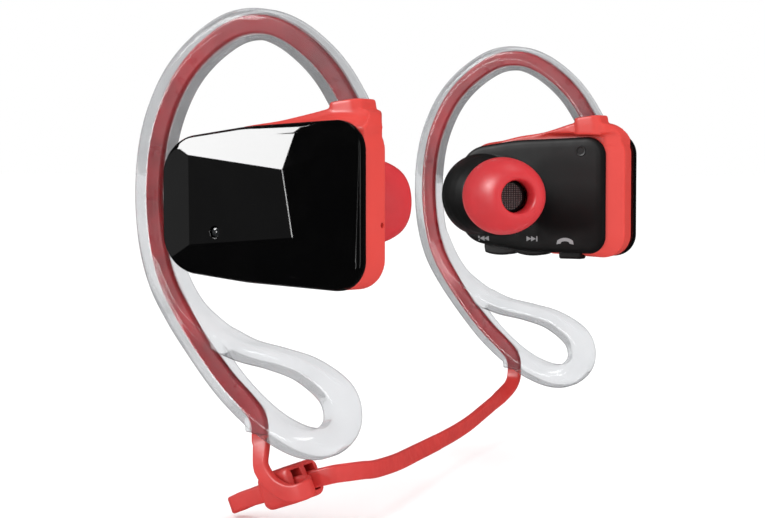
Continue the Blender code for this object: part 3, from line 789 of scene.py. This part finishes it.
def band(name, side, line, depth, corner):
    """A band in the hook's plane along (x, z, width) points."""
    path = spline(line, 0.9)
    flat = [Vector((p.x, p.y)) for p in path]
    rings = []
    for point, tangent in zip(path, tangents(flat)):
        normal = Vector((-tangent.y, tangent.x))
        ring = []
        for across, deep in rounded_section(point.z, depth, min(corner, 0.45 * point.z), 7):
            place = Vector((point.x, point.y)) + normal * across
            ring.append(on_side(side, (place.x, HOOK_T + deep, place.y)))
        rings.append(ring)
    return loft(name, rings)


def make_hook(name, side):
    """The band round the ear, its arm and the cable's spout melted into one, with the cable inside."""
    inside = COLLAR - COLLAR_DIRECTION * 0.9
    line = [(inside.x, inside.y, 4.4)] + list(HOOK_LINE[: 2 - ARM_END])
    hook = band(f"{name}_hook_band", side, line, HOOK_DEPTH, HOOK_CORNER)
    arm_end = [(x, z, width - ARM_SLIMMER) for x, z, width in HOOK_LINE[-ARM_END:]]
    combine(hook, band("arm", side, arm_end, HOOK_DEPTH - ARM_SLIMMER, HOOK_CORNER - 0.1), "UNION")
    spout = ((EXIT_X, EXIT_Z + 2.6, CABLE_WIDTH + 1.7), (EXIT_X, EXIT_Z, CABLE_WIDTH + 1.5))
    combine(hook, band("spout", side, spout, CABLE_THICKNESS + 1.8, 0.9), "UNION")
    soften(hook, 0.22, 8)
    become_piece(hook, "clear_rubber", "root", [f"{name}_ear_hook"], 40)
    start = COLLAR - COLLAR_DIRECTION * 5.6
    inner = [tuple(start), tuple(COLLAR)]
    inner += [point[:2] for point in HOOK_LINE[1:WIRE_POINTS]]
    inner += list(CABLE_TAIL) + [(EXIT_X, EXIT_Z - 0.2)]
    line = [(x, z, CABLE_WIDTH) for x, z in inner]
    wire = band(f"{name}_hook_wire", side, line, CABLE_THICKNESS, CABLE_CORNER)
    # the cable inside takes the jacket painted darker, as painted shade under the clear rubber
    become_piece(wire, "inner_jacket_painted_dark", "root", [f"{name}_hook_cable"], 60)


# ---------------------------------------------------------------- earpieces

HORN_TOP = (
    (-4.0, -13.7),
    (0.0, -12.8),
    (3.0, -12.4),
    (5.3, -12.05),
    (7.6, -11.5),
    (10.0, -10.85),
    (12.0, -10.35),
    (14.5, -10.15),
    (17.0, -10.3),
    (18.6, -10.65),
    (19.6, -11.4),
    (20.2, -12.7),
)


def make_horn(side):
    """The frame rises to the collar in a long sweep from behind and a shoulder in front."""
    rings = []
    for point in spline([Vector((x, z, 0)) for x, z in HORN_TOP], 0.6):
        x, top = point.x, point.y
        rise = slope(top, -12.4, -10.6)
        ahead = slope(x, 18.0, 20.2)
        inner = 46.6 - 1.6 * rise * (1 - ahead) + 2.2 * ahead
        outer = 54.2 - 3.0 * rise
        ledge = min(-12.55, top - 0.7)
        foot = 46.6 + 2.4 * ahead
        section = (
            (foot, -14.6),
            (foot, ledge),
            (inner, min(ledge + 0.35, top - 0.4)),
            (inner, top - 0.3),
            (inner + 0.4, top),
            (outer - 0.8, top),
            (outer, top - 0.5 * (1 + rise)),
            (54.3, min(-13.0, top - 0.9)),
            (54.3, -14.6),
        )
        rings.append([on_side(side, (x, t, z)) for t, z in section])
    return loft("horn", rings)


def make_collar(side):
    """A short sleeve round the hook's end: x, z, width, depth and tilt of each ring."""
    rings = []
    for x, z, width, depth, tilt in (
        (14.9, -12.6, 5.6, 6.2, 0.0),
        (14.8, -10.6, 5.4, 6.6, 0.03),
        (14.7, -9.9, 5.3, 6.6, 0.08),
        (14.65, -9.35, 5.2, 6.6, 0.11),
        (14.62, -9.12, 4.9, 6.3, 0.11),
    ):
        ring = []
        for across, deep in rounded_section(width, depth, 1.5):
            ring.append(on_side(side, (x + across, HOOK_T + deep, z + across * math.tan(tilt))))
        rings.append(ring)
    return loft("collar", rings)


def make_frame(name, side):
    """The middle housing with its horn and collar, opened for the keys or for the socket."""
    levels = ((46.4, 1.3, -2.3), (46.8, 0.8, -1.9), (49.4, 0.0, -0.1), (54.1, 0.1, -0.4), (54.5, 0.4, -0.5))
    shell = loft(
        f"{name}_frame_shell", [outline_ring(side, OUTLINE, t, inset, front) for t, inset, front in levels]
    )
    combine(shell, make_horn(side), "UNION")
    combine(shell, make_collar(side), "UNION")
    fronts = ((44.0, -2.2), (49.4, -0.6), (56.0, -0.6))
    hollow = [outline_ring(side, OUTLINE, t, FRAME_WALL, front) for t, front in fronts]
    combine(shell, loft("hollow", hollow), "DIFFERENCE")
    soften(shell, 0.2, 6)
    if name == "left":
        for low, high in (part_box("rocker_button"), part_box("call_button")):
            middle, size = (low + high) / 2 / MM, (high - low) / MM
            cut = box("cut", (size.x + KEY_ROOM[0], size.y + KEY_ROOM[1], 8), (middle.x, middle.y, middle.z - 1))
            combine(shell, cut, "DIFFERENCE")
    else:
        vent = on_side(side, VENT)
        drill = cylinder("vent", VENT_RADIUS, vent - Vector((1.4, 0, 0)), vent + Vector((3, 0, 0)))
        combine(shell, drill, "DIFFERENCE")
        low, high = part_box("port_cover")
        middle, size = (low + high) / 2 / MM, (high - low) / MM
        cut = box("cut", (size.x + PORT_ROOM, size.y + PORT_ROOM, 8), middle)
        combine(shell, cut, "DIFFERENCE")
    become_piece(shell, "frame_red", "root", [f"{name}_frame"], 50)


def make_inner_shell(name, side):
    """The shell on the ear's side, with the canted speaker boss and its nozzle."""
    levels = ((46.2, 0.1), (45.7, 0.0), (45.3, 0.2), (45.05, 0.7), (44.95, 1.6))
    shell = loft(f"{name}_inner_shell", [outline_ring(side, FACE_OUTLINE, t, inset) for t, inset in levels])
    axis = sound_axis(side)
    base = on_side(side, AXIS_BASE)
    boss = (
        (0, NOZZLE_END),
        (2.9, NOZZLE_END),
        (3.35, NOZZLE_END - 0.7),
        (3.4, NOZZLE_END - 1.4),
        (3.15, NOZZLE_END - 2.0),
        (3.15, 10.6),
        (3.7, 9.9),
        (4.6, 9.1),
        (5.8, 7.5),
        (6.7, 5.8),
        (7.4, 4.0),
        (7.8, 2.2),
        (8.0, 0.2),
        (7.6, -1.4),
        (6.6, -3.1),
        (5.4, -4.6),
        (0, -7.6),
    )
    combine(shell, turned("boss", boss, base, axis, 64), "UNION")
    back = box("back", (60, 20, 60), on_side(side, (0, 56.2, -24)))
    combine(shell, back, "DIFFERENCE")
    cavity = (
        (0, NOZZLE_END + 3),
        (2.6, NOZZLE_END + 3),
        (2.6, 8.6),
        (4.4, 6.6),
        (6.0, 4.0),
        (6.5, 1.0),
        (6.4, -0.4),
        (4.2, -3.9),
        (0, -6.2),
    )
    combine(shell, turned("cavity", cavity, base, axis, 64), "DIFFERENCE")
    soften(shell, 0.19, 7)
    return become_piece(shell, "satin_black", "root", [f"{name}_inner_cover"])


# Facets of the outer cover: three points (x, t, z) on each plane.
CORNER_A = (-7.1, 57.5, -16.9)
CORNER_B = (9.6, 59.0, -19.0)
CORNER_C = (11.2, 58.9, -28.5)
CORNER_D = (-7.0, 57.5, -29.9)
FACET_PLANES = (
    (CORNER_A, CORNER_B, (2.0, 56.9, -13.9)),
    (CORNER_A, CORNER_B, CORNER_D),
    (CORNER_B, CORNER_C, CORNER_D),
    (CORNER_B, CORNER_C, (20.2, 56.9, -24.0)),
    (CORNER_B, (10.9, 56.97, -12.9), (20.0, 56.3, -14.0)),
    (CORNER_D, CORNER_C, (2.0, 56.8, -34.3)),
    (CORNER_C, (20.0, 56.6, -34.6), (15.0, 56.75, -35.2)),
    (CORNER_A, CORNER_D, (-12.0, 56.5, -24.0)),
)


def facet_normal(side, corners):
    """The outward normal of the plane through three corners."""
    a, b, c = (on_side(side, corner) for corner in corners)
    normal = (b - a).cross(c - a).normalized()
    return normal if normal.y * side > 0 else -normal


def keep_ridges(shell, areas):
    """Shades the ridges between facets sharp: facets are the faces over 5 square millimetres."""
    beside = {}
    for face in shell.data.polygons:
        for key in face.edge_keys:
            beside.setdefault(key, []).append(face)
    sharp = shell.data.attributes.get("sharp_edge")
    if sharp is None:
        sharp = shell.data.attributes.new("sharp_edge", "BOOLEAN", "EDGE")
    for edge in shell.data.edges:
        first, *others = beside[edge.key]
        if others and areas[first.index] > 5 and areas[others[0].index] > 5:
            if first.normal.angle(others[0].normal) > math.radians(1.5):
                sharp.data[edge.index].value = True


def make_outer_shell(name, side):
    """A shallow tray whose face is cut by flat facets, with polished, lightly rounded ridges."""
    levels = ((54.8, 0.45), (54.9, 0.25), (55.2, 0.12), (56.0, 0.15), (56.5, 0.35), (56.9, 0.85), (57.2, 1.6))
    rings = [outline_ring(side, OUTLINE, t, inset) for t, inset in levels]
    peak = [(p.x * 0.55 + 2.2, 62.0, (p.y + 24) * 0.55 - 24) for p in rounded_outline(OUTLINE)]
    rings.append([on_side(side, point) for point in peak])
    bm = bmesh.new()
    add_skin(bm, rings)
    bmesh.ops.recalc_face_normals(bm, faces=bm.faces)
    for corners in FACET_PLANES:
        cut = bmesh.ops.bisect_plane(
            bm,
            geom=bm.verts[:] + bm.edges[:] + bm.faces[:],
            plane_co=on_side(side, corners[0]),
            plane_no=facet_normal(side, corners),
            clear_outer=True,
            dist=1e-5,
        )
        rim = [item for item in cut["geom_cut"] if isinstance(item, bmesh.types.BMEdge)]
        bmesh.ops.edgeloop_fill(bm, edges=[edge for edge in rim if edge.is_boundary])
    bmesh.ops.remove_doubles(bm, verts=bm.verts, dist=1e-4)
    shell = object_from(f"{name}_outer_shell", bm)
    hollow = [outline_ring(side, OUTLINE, t, inset) for t, inset in ((53.0, 1.6), (55.4, 1.6), (55.9, 2.4))]
    combine(shell, loft("hollow", hollow), "DIFFERENCE")
    low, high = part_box(f"{name}_status_led")
    middle = (low + high) / 2 / MM
    start = Vector((middle.x, side * 56.0, middle.z))
    window = cylinder("window", LED_WINDOW_RADIUS, start, start + Vector((0, side * 4, 0)))
    combine(shell, window, "DIFFERENCE")
    lens = turned(
        f"{name}_led_lens",
        ((0, 0.95), (0.45, 0.92), (0.68, 0.8), (0.74, 0.6), (0.74, -0.4), (0, -0.4)),
        start + Vector((0, side * 0.8, 0)),
        (0, side, 0),
        40,
    )
    become_piece(lens, "led", "root", [f"{name}_status_led"], 40)
    areas = [face.area for face in shell.data.polygons]
    become_piece(shell, "piano_black", "root", [f"{name}_outer_cover"], 30)
    keep_ridges(shell, areas)
    weighted = shell.modifiers.new("weighted", "WEIGHTED_NORMAL")
    weighted.keep_sharp = True
    weighted.weight = 90


def make_tip(name, side):
    """A soft dome, hollow from behind, on a stem that grips the nozzle."""
    outside = spline(
        [
            Vector((x, z, 0))
            for x, z in (
                (3.05, TIP_END - 0.7),
                (3.2, TIP_END - 0.2),
                (3.75, TIP_END),
                (4.6, TIP_END - 0.35),
                (5.5, TIP_END - 1.3),
                (6.35, TIP_END - 3.0),
                (6.95, TIP_END - 5.4),
                (7.2, TIP_END - 8.2),
                (7.05, TIP_END - 10.4),
                (6.65, TIP_START + 0.25),
                (6.35, TIP_START),
            )
        ],
        0.35,
    )
    inside = [
        (6.1, TIP_START + 0.15),
        (6.35, TIP_START + 1.4),
        (6.55, TIP_END - 8.2),
        (6.3, TIP_END - 5.6),
        (5.7, TIP_END - 3.8),
        (5.0, TIP_END - 3.2),
        (4.6, TIP_END - 4.0),
        (4.5, TIP_START + 1.2),
        (3.7, TIP_START + 1.0),
        (3.7, NOZZLE_END + 0.3),
        (2.95, NOZZLE_END + 0.9),
        (2.95, TIP_END - 1.2),
    ]
    profile = [(point.x, point.y) for point in outside] + inside
    tip = turned(f"{name}_tip_dome", profile, on_side(side, AXIS_BASE), sound_axis(side), 128, closed=True)
    ahead = Vector((math.cos(CANT), side * math.sin(CANT), 0.0))
    for vert in tip.data.vertices:
        height = (vert.co - on_side(side, AXIS_BASE)).dot(sound_axis(side))
        vert.co += ahead * TIP_LEAN * slope(height, TIP_LEAN_START, TIP_END) ** 2
    become_piece(tip, "silicone", f"{name}_tip", [f"{name}_ear_tip"], 50)
    rim = 2.55
    screen = ((0, -0.1), (rim - 0.25, -0.15), (rim, -0.02), (rim, -0.5), (0, -0.5))
    disc = turned(
        f"{name}_nozzle_screen",
        [(r, NOZZLE_END + h) for r, h in screen],
        on_side(side, AXIS_BASE),
        sound_axis(side),
        64,
    )
    become_piece(disc, "screen", "root", [f"{name}_nozzle_mesh"], 40)


# ---------------------------------------------------------------- controls


def make_pad(name, node, body, bumps):
    """A rubbery key whose lower face rises in one bump or two."""
    low, high = (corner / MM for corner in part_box(node))
    middle = (low + high) / 2
    length, depth = high.x - low.x, high.y - low.y
    steps = 48
    rings = []
    for step in range(steps + 1):
        share = step / steps
        end = drawn_in(min(share, 1 - share) * length, 0.35)
        wave = math.sin(math.pi * ((share * bumps) % 1.0)) ** 0.5 if bumps > 1 else 1.0
        bottom = low.z + 0.75 * (1 - wave) * (bumps > 1) + end
        ring = []
        for across, up in rounded_section(depth - 2 * end, high.z - bottom, 0.5, 5):
            ring.append(Vector((low.x + share * length, middle.y + across, (high.z + bottom) / 2 + up)))
        rings.append(ring)
    become_piece(loft(name, rings), "button_black", body, [node], 50)


def flat_shape(outline, depth):
    """A thin closed plate from (x, z) points: the first ring is outside, on the plane y = 0."""
    rings = [[Vector((x, y, z)) for x, z in outline] for y in (0.0, depth)]
    return loft("plate", rings)


def printed(name, shapes, place, side, cover):
    """Joins flat shapes and lays them on the inner cover's surface round place (x, z)."""
    tree = BVHTree.FromObject(cover, bpy.context.evaluated_depsgraph_get())
    bm = bmesh.new()
    for outline in shapes:
        plate = flat_shape(outline, PRINT_THICKNESS)
        bm.from_mesh(plate.data)
        bpy.data.objects.remove(plate)
    for vert in bm.verts:
        x, z = place[0] + vert.co.x, place[1] + vert.co.z
        hit = tree.ray_cast(Vector((x, side * 30, z)) * MM, Vector((0, side, 0)))[0]
        surface = abs(hit.y) / MM if hit else FACE_T
        vert.co = Vector((x, side * (surface - 0.04 + vert.co.y * 2), z))
    become_piece(object_from(name, bm), "print", "root", (), 40)


def arc(centre, radius, start, end, steps=10):
    """Points (x, z) on an arc, with angles in degrees."""
    points = []
    for step in range(steps + 1):
        angle = math.radians(start + (end - start) * step / steps)
        points.append((centre[0] + radius * math.cos(angle), centre[1] + radius * math.sin(angle)))
    return points


def make_icons(cover):
    """Previous, next and call signs, printed above the keys."""
    arrow = ((-0.55, -0.5), (0.45, 0.0), (-0.55, 0.5))
    bar = ((-0.12, -0.5), (0.12, -0.5), (0.12, 0.5), (-0.12, 0.5))
    signs = ((arrow, -0.55), (arrow, 0.4), (bar, 1.05))
    forward = [[(x + shift, z) for x, z in shape] for shape, shift in signs]
    backward = [[(-x, z) for x, z in reversed(shape)] for shape in forward]
    handset = arc((0, -2.1), 2.6, 128, 52, 12) + [(1.75, -0.75), (0.95, -0.62)]
    handset += arc((0, -2.1), 1.95, 66, 114, 8) + [(-0.95, -0.62), (-1.75, -0.75)]
    printed("icon_next", forward, NEXT_SIGN, 1, cover)
    printed("icon_previous", backward, PREVIOUS_SIGN, 1, cover)
    printed("icon_call", [list(reversed(handset))], CALL_SIGN, 1, cover)


def make_microphone_port():
    """A shallow ring with a pinhole, near the front of the left inner cover."""
    low, high = (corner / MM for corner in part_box("microphone"))
    middle = (low + high) / 2
    base = Vector((middle.x + 0.2, FACE_T, middle.z + 0.3))
    profile = (
        (0.42, -0.3),
        (0.42, 0.02),
        (0.62, 0.04),
        (0.74, 0.14),
        (0.92, 0.16),
        (1.05, 0.06),
        (1.08, -0.3),
    )
    ring = turned("microphone_port", profile, base, (0, -1, 0), 48, closed=True)
    become_piece(ring, "button_black", "root", (), 40)


def make_port_flap():
    """A soft plug lid with a finger lip at its free end."""
    low, high = (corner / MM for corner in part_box("port_cover"))
    middle, length = (low + high) / 2, high.x - low.x
    steps = 30
    rings = []
    for step in range(steps + 1):
        share = step / steps
        end = drawn_in(min(share, 1 - share) * length, 0.5)
        dish = 0.18 * math.sin(math.pi * share) if share < 0.9 else 0.0
        bottom = low.z + dish * 0.5 + 0.4 * end
        ring = []
        for across, up in rounded_section(high.y - low.y - 2 * end, high.z - bottom, 0.3, 5):
            ring.append(Vector((low.x + share * length, middle.y + across, (high.z + bottom) / 2 + up)))
        rings.append(ring)
    become_piece(loft("port_flap_lid", rings), "seal", "port_flap", ["port_cover"], 50)


def dress_inner_nodes():
    """Finishes for the sealed pieces, which stay as the CAD makes them."""
    finishes = {
        "cover_gasket": "seal",
        "driver": "steel",
        "diaphragm": "film",
        "circuit_board": "board",
        "battery": "foil",
    }
    for name in SIDES:
        for node, material in finishes.items():
            dress_node(f"{name}_{node}", material)
    for node in ("previous_switch", "next_switch", "call_switch", "microphone", "charging_socket"):
        dress_node(node, "steel")


make_camera()
make_slider()
make_neck_cable()
make_stage()
for name, side in SIDES.items():
    make_hook(name, side)
    make_frame(name, side)
    cover = make_inner_shell(name, side)
    if name == "left":
        make_icons(cover)
    make_outer_shell(name, side)
    make_tip(name, side)
make_pad("rocker_pad", "rocker_button", "rocker", 2)
make_pad("call_pad", "call_button", "call", 1)
make_microphone_port()
make_port_flap()
dress_inner_nodes()
